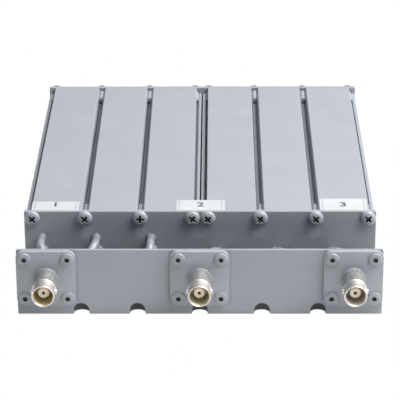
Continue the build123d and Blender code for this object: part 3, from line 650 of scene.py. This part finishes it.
# The print is a flat dark grey in the digits and paler in the fine end lines
ink = print_ink("label_print_grey", "#3C3E42", "#5A5C60")
fine_ink = print_ink("label_line_grey", "#85888D", "#9A9DA2")
# The three jacks' bores differ a little in tone, the low one's being the yellowest
shell_finishes = {
    "low": nickel_shell("nickel_plate_low", "#D6C8A2"),
    "antenna": nickel_shell("nickel_plate_antenna", "#D4CDB2"),
    "high": nickel_shell("nickel_plate_high", "#CFC8BA"),
}

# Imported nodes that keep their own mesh
KEPT = {
    "cavity_block": block_enamel, "front_plate": plate_enamel, "rear_plate": case_enamel,
    "connector_bracket": bracket_enamel, "resonator": copper, "coupling_loop": wire,
}
for node_name, obj in nodes.items():
    chosen = next((m for start, m in KEPT.items() if node_name.startswith(start)), case_enamel)
    for own in obj.material_slots:
        own.material = chosen

# Plate screws, the crosses' turns in reverse order in two of the rows
ROWS = {
    "front_top_screws": (TOP_ROW, PLATE_Y, -1, CROSS_TURNS),
    "front_bottom_screws": (BOTTOM_ROW, PLATE_Y, -1, CROSS_TURNS[::-1]),
    "rear_top_screws": (TOP_ROW, BACK_Y, 1, CROSS_TURNS[::-1]),
    "rear_bottom_screws": (BOTTOM_ROW, BACK_Y, 1, CROSS_TURNS),
}
for row_name, (row_z, seat, facing, turns) in ROWS.items():
    grids = []
    for screw_x, turn in zip(SCREW_XS, turns):
        grids += screw(screw_x, row_z, seat, facing, turn, shank_dark=FRONT_SHANK_DARK * (facing < 0))
    piece(f"fine_{row_name}", grids, hardware_enamel, replaced=(row_name,))

grids = []
for cell_x in CELL_XS:
    grids += screw(cell_x, LIP_SCREW_Z, LIP_SEAT, -1, LIP_TURN, LIP_HEAD_D / HEAD_D, LIP_SHANK_LEN,
                   LIP_SHANK_D)
piece("fine_bracket_screws", grids, hardware_enamel, replaced=("bracket_screws",))

# Jacks

# The shell's outline is (radius, y, rounding), from the bore's floor round the mouth and back
# over the barrel, the ring at the shoulder, the collar, its foot and the rear body.
BORE_FLOOR = MOUTH_Y + BORE_DEPTH
SHELL = np.array([
    (0, BORE_FLOOR, 0), (BORE_R, BORE_FLOOR, 0.15), (BORE_R, MOUTH_Y + 0.6, 0.1),
    (BORE_CHAMFER_R, MOUTH_Y, 0.06), (BARREL_R - 0.05, MOUTH_Y, 0.08),
    (BARREL_R + 0.05, MOUTH_Y + 0.3, 0.1), (BARREL_R, SHOULDER_Y, 0.05),
    (RING_R, SHOULDER_Y, 0.3), (RING_R, SHOULDER_Y + 0.8, 0.1), (COLLAR_R, SHOULDER_Y + 1.0, 0.1),
    (COLLAR_R, -3.0, 0.05), (FOOT_R, -2.8, 0.15), (FOOT_R, 0, 0.05), (REAR_BODY_R, 0, 0.05),
    (REAR_BODY_R, REAR_BODY_END - 0.3, 0.15), (REAR_BODY_R - 0.3, REAR_BODY_END, 0.15),
    (0, REAR_BODY_END, 0),
])
SHELL = softened(SHELL[:, :2], SHELL[1:-1, 2], 3)
IN_THE_BORE = (SHELL[:, 0] < BORE_CHAMFER_R - 0.03) & (SHELL[:, 1] < BORE_FLOOR + 0.6)
LUG = softened([(0, LUG_ROOT), (LUG_R, LUG_ROOT), (LUG_R, LUG_REACH), (0, LUG_REACH)], [0.05, 0.22], 3)

INSULATOR_Y, INSULATOR_END = MOUTH_Y + INSULATOR_BACK, COAX_END_Y - 2
SLEEVE = softened([
    (INSULATOR_HOLE_R, INSULATOR_END - 0.1), (INSULATOR_HOLE_R, INSULATOR_Y), (INSULATOR_R, INSULATOR_Y),
    (INSULATOR_R, INSULATOR_END), (INSULATOR_HOLE_R, INSULATOR_END),
], [0.15, 0.3, 0.1], 3)
SLEEVE = np.vstack([SLEEVE, SLEEVE[:1]])
PIN_Y = INSULATOR_Y + 0.12
PIN_HOLE_Y = PIN_Y + CONTACT_HOLE_DEPTH
PIN = np.array([
    (0, PIN_HOLE_Y), (CONTACT_HOLE_R, PIN_HOLE_Y), (CONTACT_HOLE_R, PIN_Y + 0.08), (0.64, PIN_Y),
    (0.92, PIN_Y), (CONTACT_R, PIN_Y + 0.1), (CONTACT_R, INSULATOR_END), (CONTACT_TAIL_R, INSULATOR_END),
    (CONTACT_TAIL_R, COAX_END_Y), (0, COAX_END_Y),
])
IN_THE_PIN = np.arange(len(PIN)) < 3

# A rivet's dome goes a quarter turn from its eye to its edge
SWELL = np.linspace(0, pi / 2, 8)
DOME = np.stack([EYE_R + 0.12 + (RIVET_R - 0.12 - EYE_R) * np.sin(SWELL), -2.1 - 0.7 * np.cos(SWELL)], -1)
RIVET = np.vstack([
    [(0, -1.85), (EYE_R, -1.85), (EYE_R, -2.55), (EYE_R + 0.025, -2.72)], DOME,
    [(RIVET_R, -FLANGE_T), (RIVET_SHANK_R, -FLANGE_T), (RIVET_SHANK_R, 1.5), (RIVET_TAIL_R, 1.5),
     (RIVET_TAIL_R, 3.4), (2.1, 3.85), (1.7, RIVET_TAIL_Y), (0, RIVET_TAIL_Y)],
])
# The eye's inside is marked for painted shade
IN_THE_EYE = np.arange(len(RIVET)) < 3

for jack, jack_x in JACKS.items():
    shell = [(turned(SHELL, jack_x, JACK_Z, 72), True, np.repeat(IN_THE_BORE[:, None], 72, 1))]
    rows = []
    for inset, depth in ((0.3, 0), (0.09, 0.09), (0, 0.3), (0, FLANGE_T - 0.1), (0.1, FLANGE_T)):
        half = FLANGE_W / 2 - inset
        ring = round_square((half, half), FLANGE_CORNER - inset)
        y = np.full(len(ring), depth - FLANGE_T)
        rows.append(np.stack([jack_x + ring[:, 0], y, JACK_Z + ring[:, 1]], -1))
    angle = np.arctan2(ring[:, 0], ring[:, 1])
    hole = [round_axis(FLANGE_HOLE_R, y, angle, jack_x, JACK_Z) for y in (-FLANGE_T, 0.0)]
    shell.append((np.stack([hole[0], *rows, hole[1], hole[0]]), True, None))
    turn = np.linspace(0, 2 * pi, 20, endpoint=False)
    across, out = LUG.T[..., None]
    for side in (-1, 1):
        lug = [jack_x + side * out + 0 * turn, MOUTH_Y + LUG_BACK + across * np.sin(turn),
               JACK_Z + across * np.cos(turn)]
        shell.append((np.stack(lug, -1), True, None))
    piece(f"{jack}_fine_shell", shell, shell_finishes[jack],
          replaced=(f"{jack}_jack_shell",))
    piece(f"{jack}_fine_insulator", [(turned(SLEEVE, jack_x, JACK_Z), True, None)],
          ptfe, replaced=(f"{jack}_jack_insulator",))
    pin = turned(PIN, jack_x, JACK_Z, 32)
    piece(f"{jack}_fine_contact", [(pin, True, np.repeat(IN_THE_PIN[:, None], 32, 1))],
          gold, replaced=(f"{jack}_jack_contact",))
    grids = []
    for side in (-1, 1):
        for level in (-1, 1):
            grid = turned(RIVET, jack_x + side * RIVET_HALF, JACK_Z + level * RIVET_HALF, 40)
            grids.append((grid, True, np.repeat(IN_THE_EYE[:, None], 40, 1)))
    piece(f"{jack}_fine_rivets", grids, hardware_enamel,
          replaced=(f"{jack}_jack_rivets",))

# Tape labels with a plain port number and thin end lines
for number, label in enumerate(("low", "antenna", "high"), 1):
    low, high = layout_box(f"{label}_label")
    middle, half = (low + high) / 2, (high - low) / 2
    foot, top = low[2], high[2]
    rows = []
    for k, inset, z in ((0, 0, top), (1, 0.06, top), (1, 0, top - 0.05), (1, 0, foot), (0, 0, foot)):
        ring = round_square(half[:2] - inset, LABEL_CORNER - inset, 4)
        rows.append(laid(ring * k, middle[0], middle[1], z))
    piece(f"{label}_label_film", [(np.stack(rows), True, None)], tape,
          replaced=(f"{label}_label",))
    words = bpy.data.curves.new(f"{label}_digit", "FONT")
    words.body = str(number)
    words.size = DIGIT_SIZE * MM
    words.align_x = "CENTER"
    words.align_y = "CENTER"
    words.extrude = 0.01 * MM
    words.offset = 0.16 * MM
    holder = bpy.data.objects.new(f"{label}_digit", words)
    scene.collection.objects.link(holder)
    bpy.context.view_layer.update()
    mesh = bpy.data.meshes.new_from_object(holder.evaluated_get(bpy.context.evaluated_depsgraph_get()))
    bpy.data.objects.remove(holder)
    mesh.materials.clear()
    centre = (np.array((middle[0], low[1] + DIGIT_INSET, top + 0.012)) + ORIGIN) * MM
    mesh.transform(Matrix.Translation(centre))
    finished(f"{label}_label_digit", mesh, ink)
    lines = []
    for side in (-1, 1):
        x = middle[0] + side * (half[0] - LINE_INSET)
        ring = round_square((LINE_HALF_W, half[1] - 0.25), 0.1, 3)
        rows = [laid(ring * k, x, middle[1], top + rise)
                for k, rise in ((0, 0.02), (1, 0.02), (1, -0.02), (0, -0.02))]
        lines.append((np.stack(rows), True, None))
    piece(f"{label}_label_lines", lines, fine_ink)

# Coax jumpers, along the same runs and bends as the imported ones, with their solder fillets

# Each cell's two holes in the front plate, from the side of its rod at mid height
CELL_HOLES = (
    ((-1.5, 5.7), (-0.5, 0.0)), ((-2.3, 5.7), (-1.3, 0.0)), ((-3.1, 5.7), (-2.1, 0.0)),
    ((-0.65, -0.8), (-0.65, -6.5)), ((-0.65, -6.5), (-0.65, -0.8)), ((-0.65, -6.5), (-0.65, -0.8)),
)
BESIDE_ROD = (ROD_D + COAX_D) / 2
holes = [(cell_x - BESIDE_ROD + aside, MID_Z + over)
         for cell_x, pair in zip(CELL_XS, CELL_HOLES) for aside, over in pair]
COAX_XS = (JACKS["low"], JACKS["antenna"] - COAX_APART, JACKS["antenna"] + COAX_APART, JACKS["high"])
jack_ends = [(x, JACK_Z) for x in COAX_XS]
# Each run is its straight length at the first end, its corners and its straight length at the last
RUNS = {
    "low_to_1": (4.5, [], 8.5),
    "1_to_2": (6.0, [(-68.6, 13.5, 8.5), (-57.5, 10.0, 7.0), (-49.8, 11.0, 20.5)], 5.5),
    "2_to_3": (6.0, [(-44.6, 13.5, 8.5), (-33.0, 9.5, 7.0), (-23.2, 11.0, 19.0)], 7.5),
    "3_to_antenna": (7.0, [(-13.0, 15.0, 12.0)], 5.5),
    "antenna_to_4": (4.0, [(5.9, 20.5, 21.8)], 1.5),
    "4_to_5": (2.0, [(13.4, 19.0, 21.8), (20.0, 12.0, 11.5), (27.5, 13.0, 7.5)], 7.0),
    "5_to_6": (1.5, [(35.6, 20.0, 21.8), (43.5, 12.0, 12.0), (52.0, 13.0, 7.5)], 7.0),
    "6_to_high": (1.5, [(60.2, 20.0, 21.8)], 4.0),
}
in_jacks = [(end, True) for end in jack_ends]
in_cells = [(hole, False) for hole in holes]
ends = in_jacks[:1] + in_cells[:6] + in_jacks[1:3] + in_cells[6:] + in_jacks[3:]


def straight_end(end, run):
    """Where the coax ends in a jack or a cell, and where it has come straight out."""
    (x, z), in_jack = end
    if in_jack:
        return [(x, COAX_END_Y, z), (x, REAR_BODY_END + run, z)]
    return [(x, CELL_END_Y, z), (x, PLATE_Y - run, z)]


def fillet_of_solder(x, z, y, facing, seed):
    """A cone that sags inwards round the coax: its height falls with the square of the way out.

    The outer half of its slope is uneven by a tenth, in three waves once round."""
    way = np.linspace(0, 1, 7)
    inside, reach, rise = COAX_D / 2 - 0.1, 0.95, 1.2
    slope = np.stack([inside + reach * way, y + facing * rise * (1 - way) ** 2], -1)
    offset = turned(np.vstack([slope, [(inside, y), (inside, y + facing * rise)]]), x, z, 28) - (x, y, z)
    wave = 0.1 * np.sin(np.linspace(0, 2 * pi, 28, endpoint=False) * 3 + seed)
    outer = np.append(way > 0.5, [False, False])[:, None]
    offset[..., (0, 2)] *= 1 + (wave * outer)[..., None]
    return offset + (x, y, z)


fillets = [fillet_of_solder(x, z, PLATE_Y, -1, k) for k, (x, z) in enumerate(holes)]
fillets += [fillet_of_solder(x, z, REAR_BODY_END, 1, k) for k, (x, z) in enumerate(jack_ends)]
fillets = [(grid, True, None) for grid in fillets]
piece("coax_solder_fillets", fillets, coax_enamel)
for (name, (first_run, corners, last_run)), first, last in zip(RUNS.items(), ends[::2], ends[1::2]):
    route = np.array(straight_end(first, first_run) + corners + straight_end(last, last_run)[::-1])
    steps = np.diff(route, axis=0)
    lengths = np.linalg.norm(steps, axis=1)
    unit = steps / lengths[:, None]
    half_turn = np.arccos(np.clip((unit[:-1] * unit[1:]).sum(1), -1, 1)) / 2
    room = 0.47 * np.minimum(lengths[:-1], lengths[1:]) / np.tan(half_turn)
    line = softened(route, np.minimum(COAX_BEND, room), 10)
    piece(f"fine_jumper_{name}", [(tube(line, COAX_D / 2), True, None)], coax_enamel,
          replaced=(f"jumper_{name}",))

# Tuning screws, their nuts and bushings at the back
tip_r = TUNER_D / 2 - TUNER_CHAMFER
for number, cell_x in enumerate(CELL_XS, 1):
    low, high = layout_box(f"tuning_screw_{number}")
    start, end = low[1], high[1]
    inner = np.array([0, 0.25, 0.46, TUNER_SLOT_HALF, 0.56, 0.8, 1.1])
    u, v = disc_grid(disc_lines(inner, 5, tip_r), 0.8, tip_r)
    in_slot = np.clip((TUNER_SLOT_HALF - abs(u)) / 0.04, 0, 1)
    cap = np.stack([cell_x + u, end - TUNER_SLOT_DEPTH * in_slot, MID_Z + v], -1)
    turn, rim_cut = np.arctan2(rim_of(u), rim_of(v)), rim_of(in_slot)
    flat = 0 * turn
    rings = np.arange(start + 0.3, end - 1.8, TUNER_PITCH / 6)
    fading = np.clip((end - 2.2 - rings[:, None]) / 0.6, 0, 1)
    threaded = TUNER_D / 2 - TUNER_THREAD * thread(rings, TUNER_PITCH, turn) * fading
    radius = np.vstack([flat, flat + TUNER_D / 2 - 0.4, threaded, flat + TUNER_D / 2, flat + tip_r])
    run = np.vstack([flat + start, flat + start, rings[:, None] + flat,
                     end - 1.45 + 1.15 * (1 - rim_cut), end - TUNER_SLOT_DEPTH * rim_cut])
    side = round_axis(radius, run, turn, cell_x, MID_Z)
    piece(f"fine_tuning_screw_{number}", [(cap, False, None), (side, True, None)], brass,
          body=f"tuner_{number}", replaced=(f"tuning_screw_{number}",))

# A nut's hexagon is its half width over the cosine of the turn from the nearest flat's middle; both
# its faces are cut back at 30 degrees outside the chamfer's circle.
turn = np.linspace(0, 2 * pi, 72, endpoint=False)
flat = 0 * turn
hexagon = NUT_AF / 2 / np.cos((turn + pi / 6) % (pi / 3) - pi / 6)
chamfer_r = flat + NUT_AF / 2 * NUT_CHAMFER_SHARE
drop = np.maximum(hexagon - chamfer_r, 0) * tan(radians(30))
bore_r = flat + TUNER_BORE_R
seat_y = flat + BACK_Y + BUSH_FLANGE_T
top_y = seat_y + NUT_T
radius = np.stack([bore_r, bore_r + 0.25, chamfer_r, hexagon, hexagon, chamfer_r, bore_r, bore_r])
run = np.stack([top_y - 0.25, top_y, top_y, top_y - drop, seat_y + drop, seat_y, seat_y, top_y - 0.25])
grids = [(round_axis(radius, run, turn, cell_x, MID_Z), True, None) for cell_x in CELL_XS]
piece("fine_lock_nuts", grids, zinc_steel, replaced=("lock_nuts",), sharp=20)

bush = softened([
    (TUNER_BORE_R, BACK_Y - BUSH_DEPTH), (BUSH_D / 2, BACK_Y - BUSH_DEPTH), (BUSH_D / 2, BACK_Y),
    (BUSH_FLANGE_D / 2, BACK_Y), (BUSH_FLANGE_D / 2, BACK_Y + BUSH_FLANGE_T),
    (TUNER_BORE_R, BACK_Y + BUSH_FLANGE_T), (TUNER_BORE_R, BACK_Y - BUSH_DEPTH + 0.1),
], [0.2, 0.05, 0.05, 0.25, 0.1], 3)
bush = np.vstack([bush, bush[:1]])
grids = [(turned(bush, cell_x, MID_Z), True, None) for cell_x in CELL_XS]
piece("fine_tuning_bushings", grids, brass, replaced=("tuning_bushings",))

# Camera at the photograph's view
CAMERA_AT = (0.0077131, -0.9083447, 0.4079088)
YAW, PITCH, ROLL = radians(-0.5190), radians(23.3162), radians(-0.2300)
LENS_MM, SENSOR_MM = 190.906, 36
ahead = Vector((sin(YAW) * cos(PITCH), cos(YAW) * cos(PITCH), -sin(PITCH)))
right = Vector((cos(YAW), -sin(YAW), 0))
up = right.cross(ahead)
tilted_right = cos(ROLL) * right + sin(ROLL) * up
tilted_up = cos(ROLL) * up - sin(ROLL) * right
turned_to = Matrix((tilted_right, tilted_up, -ahead)).transposed().to_4x4()
view = bpy.data.cameras.new("photo_view")
view.lens = LENS_MM
view.sensor_width = SENSOR_MM
view.clip_end = 20
camera = bpy.data.objects.new("photo_view", view)
camera.matrix_world = Matrix.Translation(CAMERA_AT) @ turned_to
scene.collection.objects.link(camera)
scene.camera = camera

# Studio: white paper that the camera sees burnt out, soft air and one large softbox up to the right
PAPER_HALF, PAPER_GLOW = 3.0, 0.36
AIR_LOW, AIR_HIGH = 0.05, 0.52
AIR_BRIGHTEST = (0.45, -0.1, 0.887)
SOFTBOX_AT, SOFTBOX_SIDE, SOFTBOX_WATTS = (0.65, -0.05, 1.05), 1.1, 37
SOFTBOX_COLOUR = (1.0, 0.985, 0.965)

scene.view_settings.view_transform = "Standard"
white_floor, tree, place = new_material("white_sweep_paper")
seen = add(tree, "ShaderNodeLightPath", out="Is Camera Ray")
paper = {"Base Color": "#B8B8B8", "Roughness": 0.9}
paper.update({"Emission Color": "#FFFFFF", "Emission Strength": PAPER_GLOW})
paper = add(tree, "ShaderNodeBsdfPrincipled", paper)
burnt_out = add(tree, "ShaderNodeEmission", {"Color": "#FFFFFF", "Strength": 1.0})
surface = add(tree, "ShaderNodeMixShader", {0: seen, 1: paper, 2: burnt_out})
add(tree, "ShaderNodeOutputMaterial", {"Surface": surface})
sweep = bpy.data.meshes.new("studio_floor")
edges = [(x * PAPER_HALF, y * PAPER_HALF, 0) for x, y in ((-1, -1), (1, -1), (1, 1), (-1, 1))]
sweep.from_pydata(edges, [], [(0, 1, 2, 3)])
floor = bpy.data.objects.new("studio_floor", sweep)
sweep.materials.append(white_floor)
scene.collection.objects.link(floor)

world = bpy.data.worlds.new("studio_air")
world.use_nodes = True
tree = world.node_tree
tree.nodes.clear()
towards = {0: add(tree, "ShaderNodeTexCoord", out="Generated"), 1: AIR_BRIGHTEST}
towards = add(tree, "ShaderNodeVectorMath", towards, out="Value", operation="DOT_PRODUCT")
glow = add(tree, "ShaderNodeMapRange", {"Value": towards, "To Min": AIR_LOW, "To Max": AIR_HIGH})
air = add(tree, "ShaderNodeBackground", {"Color": "#F4FBFF", "Strength": glow})
add(tree, "ShaderNodeOutputWorld", {"Surface": air})
scene.world = world

lamp = bpy.data.lights.new("overhead_softbox", "AREA")
lamp.size = SOFTBOX_SIDE
lamp.energy = SOFTBOX_WATTS
lamp.color = SOFTBOX_COLOUR
softbox = bpy.data.objects.new("overhead_softbox", lamp)
aimed = (-Vector(SOFTBOX_AT)).to_track_quat("-Z", "Y").to_matrix().to_4x4()
softbox.matrix_world = Matrix.Translation(SOFTBOX_AT) @ aimed
scene.collection.objects.link(softbox)
